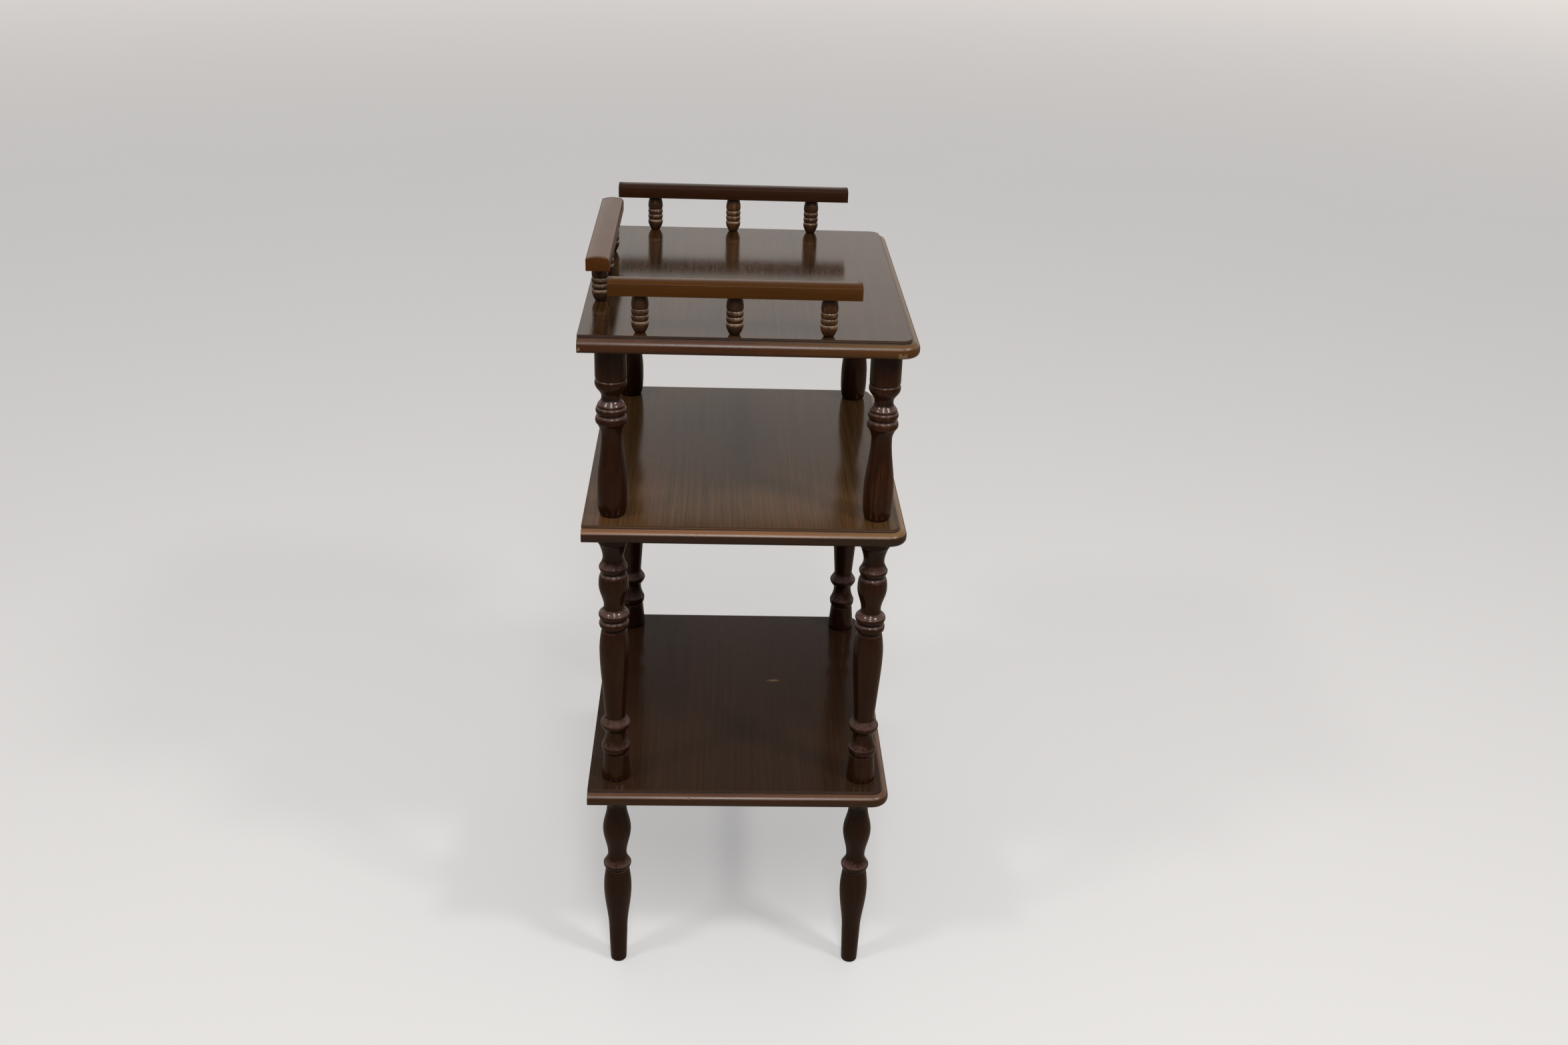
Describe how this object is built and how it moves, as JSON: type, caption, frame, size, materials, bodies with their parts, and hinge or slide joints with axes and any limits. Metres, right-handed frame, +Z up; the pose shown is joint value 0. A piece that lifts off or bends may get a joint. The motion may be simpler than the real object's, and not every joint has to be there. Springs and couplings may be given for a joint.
{
  "type": "etagere",
  "caption": "Open wooden etagere: moulded shelves on turned columns and legs, with a low spindle gallery round the back and ends of the top shelf.",
  "frame": {"origin": "on the floor at the centre of the shelves' footprint", "axes": "+X along the shelves to the right end seen from the front, +Y to the plain back edge, +Z up"},
  "size_m": [0.378, 0.3, 0.753],
  "materials": {
    "shelf_veneer": "dark walnut veneer under satin lacquer",
    "post_stain": "dark mahogany stain under gloss lacquer",
    "rail_stain": "red-brown stain under satin lacquer",
    "spindle_stain": "dark red-brown stain under gloss lacquer",
    "stud_steel": "bare steel"
  },
  "bodies": {
    "root": {"bottom_shelf": "shelf_veneer", "middle_shelf": "shelf_veneer", "top_shelf": "shelf_veneer", "leg_front_left": "post_stain", "leg_front_right": "post_stain", "leg_back_left": "post_stain", "leg_back_right": "post_stain", "middle_column_front_left": "post_stain", "middle_column_front_right": "post_stain", "middle_column_back_left": "post_stain", "middle_column_back_right": "post_stain", "upper_column_front_left": "post_stain", "upper_column_front_right": "post_stain", "upper_column_back_left": "post_stain", "upper_column_back_right": "post_stain", "bottom_stud_front_left": "stud_steel", "bottom_stud_front_right": "stud_steel", "bottom_stud_back_left": "stud_steel", "bottom_stud_back_right": "stud_steel", "middle_stud_front_left": "stud_steel", "middle_stud_front_right": "stud_steel", "middle_stud_back_left": "stud_steel", "middle_stud_back_right": "stud_steel", "top_stud_front_left": "stud_steel", "top_stud_front_right": "stud_steel", "top_stud_back_left": "stud_steel", "top_stud_back_right": "stud_steel", "left_rail": "rail_stain", "right_rail": "rail_stain", "back_rail": "rail_stain", "left_rail_spindle_1": "spindle_stain", "left_rail_spindle_2": "spindle_stain", "left_rail_spindle_3": "spindle_stain", "right_rail_spindle_1": "spindle_stain", "right_rail_spindle_2": "spindle_stain", "right_rail_spindle_3": "spindle_stain", "back_rail_spindle_1": "spindle_stain", "back_rail_spindle_2": "spindle_stain", "back_rail_spindle_3": "spindle_stain"}
  },
  "joints": []
}
